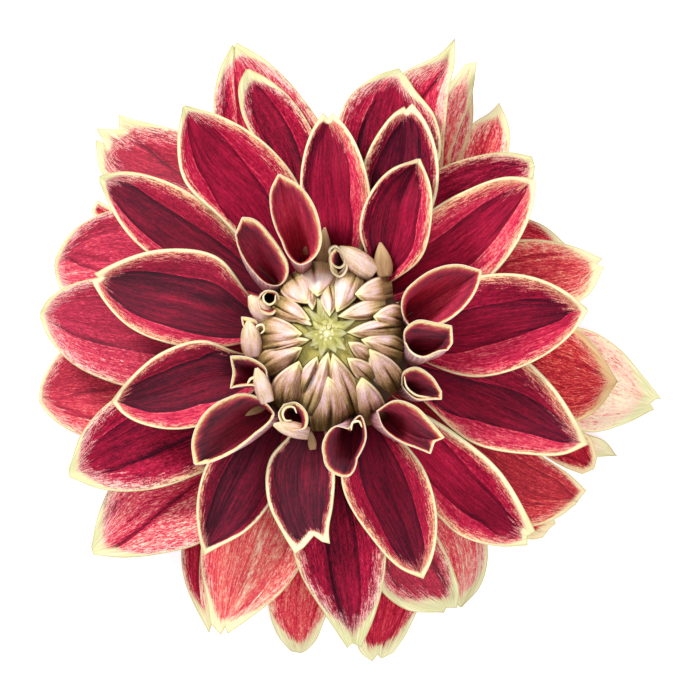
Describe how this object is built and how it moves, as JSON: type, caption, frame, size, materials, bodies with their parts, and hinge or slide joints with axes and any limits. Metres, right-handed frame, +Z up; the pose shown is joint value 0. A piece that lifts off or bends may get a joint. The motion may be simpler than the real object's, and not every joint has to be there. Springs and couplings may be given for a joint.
{
  "type": "dahlia bloom",
  "caption": "Cut decorative dahlia flower head with layered, cupped and rolled petals round a closed centre, lying face up on its back petals.",
  "frame": {"origin": "middle of the bounding box's underside, on the surface that the bloom lies on", "axes": "+Z up, out of the face of the flower along its stem's axis; +X and +Y span the flower's face"},
  "size_m": [0.1232, 0.124, 0.0426],
  "materials": {
    "ray_florets": "soft satin petal, crimson with cream margins",
    "central_florets": "soft satin bud, pale pink and cream",
    "apex_florets": "waxy bud, olive green",
    "green_base": "matt leaf, mid green"
  },
  "bodies": {
    "root": {"ray_florets": "ray_florets", "central_florets": "central_florets", "apex_florets": "apex_florets", "green_base": "green_base"}
  },
  "joints": []
}
